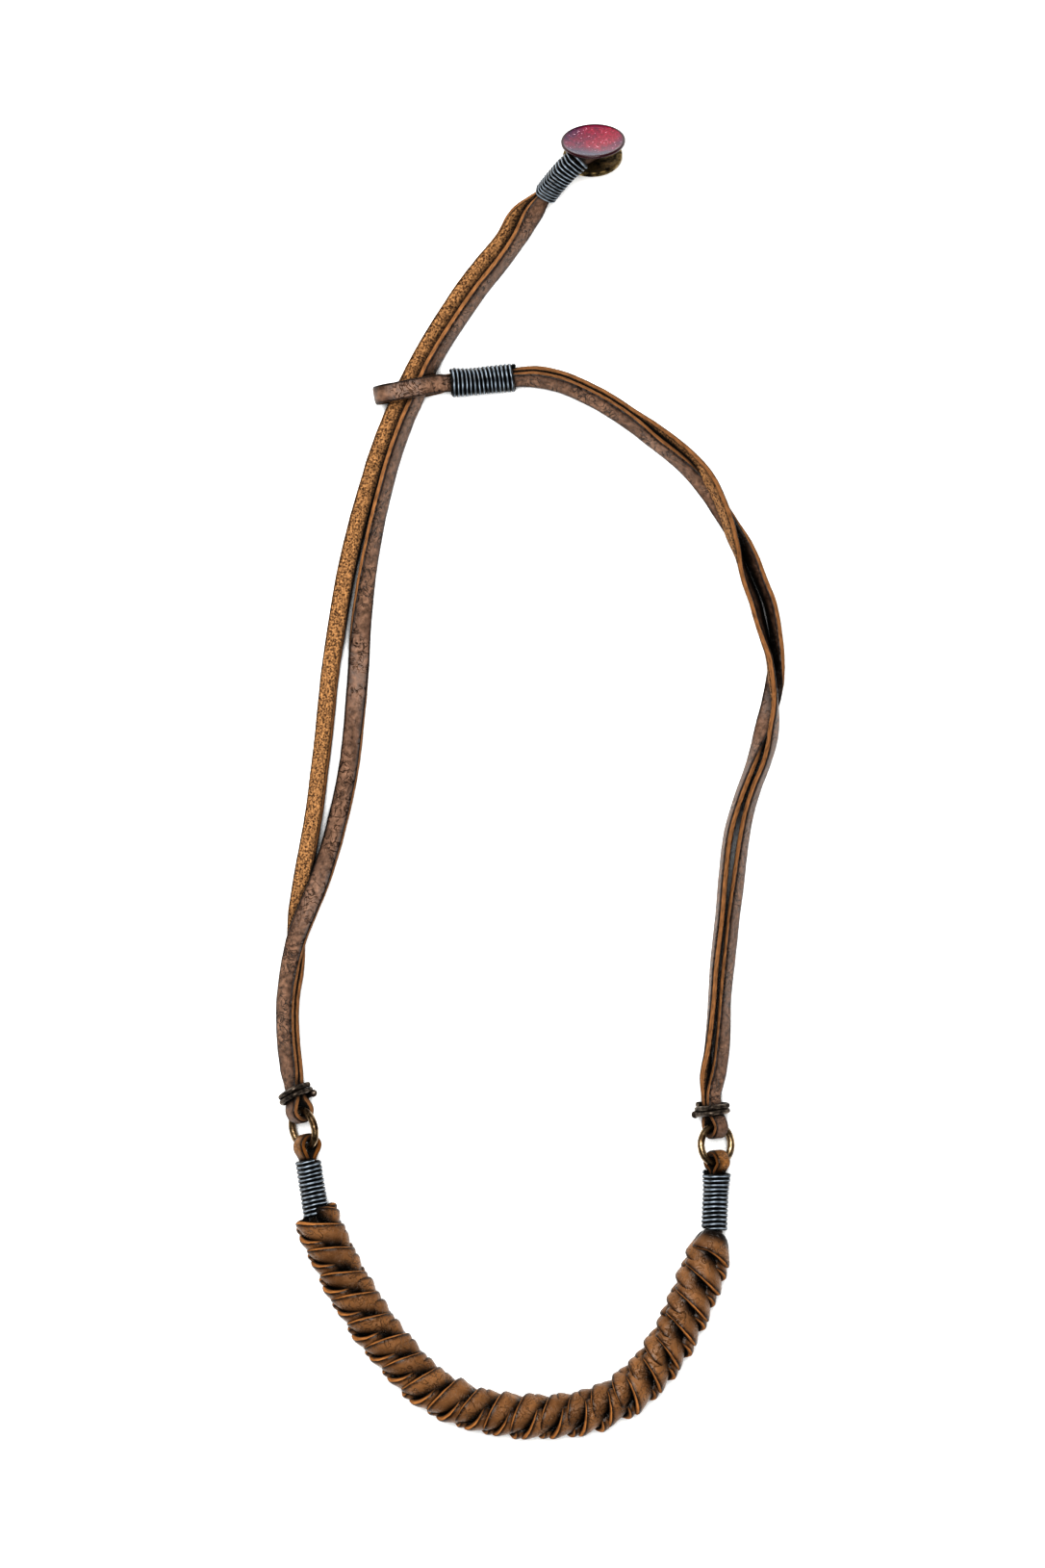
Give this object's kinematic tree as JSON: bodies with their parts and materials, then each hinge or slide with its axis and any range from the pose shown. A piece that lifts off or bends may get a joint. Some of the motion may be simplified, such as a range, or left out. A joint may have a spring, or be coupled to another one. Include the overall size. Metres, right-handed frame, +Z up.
{
  "type": "braided leather necklace",
  "caption": "Flat leather straps with thread whippings, a spiral braided front between brass rings, and a round button that closes through a loop.",
  "frame": {"origin": "On the table, under the middle of the whole necklace as it lies.", "axes": "+Z is up from the table, +Y runs from the braid to the button, and +X is the wearer's left-hand side strap with the loop."},
  "size_m": [0.083, 0.2128, 0.0119],
  "materials": {
    "strap_leather": "matte",
    "braid_leather": "satin",
    "core_leather": "matte",
    "waxed_thread": "satin",
    "aged_brass": "polished",
    "dark_wire": "satin",
    "red_enamel": "gloss"
  },
  "bodies": {
    "root": {"left_lace": "strap_leather", "right_lace": "strap_leather", "braid_core": "core_leather", "braid_lace_a": "braid_leather", "braid_lace_b": "braid_leather", "left_ring": "aged_brass", "right_ring": "aged_brass", "button_whipping": "waxed_thread", "loop_whipping": "waxed_thread", "left_whipping": "waxed_thread", "right_whipping": "waxed_thread", "left_wire_tie": "dark_wire", "right_wire_tie": "dark_wire", "button_base": "aged_brass", "button_cap": "red_enamel"}
  },
  "joints": []
}
